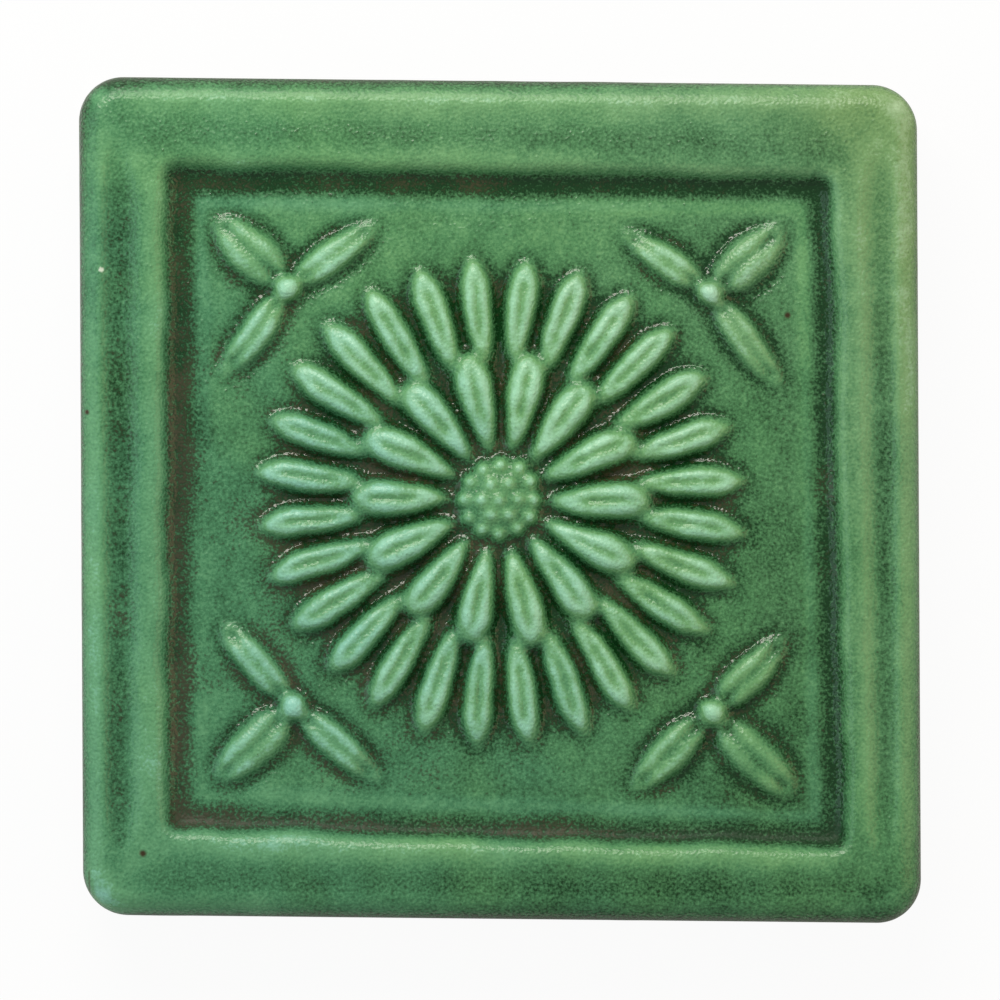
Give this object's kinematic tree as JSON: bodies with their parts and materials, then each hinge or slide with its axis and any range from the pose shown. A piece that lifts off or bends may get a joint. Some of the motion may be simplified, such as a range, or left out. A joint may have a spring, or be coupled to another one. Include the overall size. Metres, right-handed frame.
{
  "type": "accent tile",
  "caption": "Square glazed ceramic accent tile with a raised, scooped border round a sunk panel in floral relief, bedded on its keyed back as a feature piece in a tiled wall.",
  "frame": {"origin": "centre of the back face, which the tile lies on", "axes": "+Z out of the glazed face, +Y towards the edge that is at the top of the picture, +X to its right"},
  "size_m": [0.1016, 0.1016, 0.0127],
  "materials": {
    "glaze": "satin"
  },
  "bodies": {
    "root": {"tile": "glaze"}
  },
  "joints": []
}
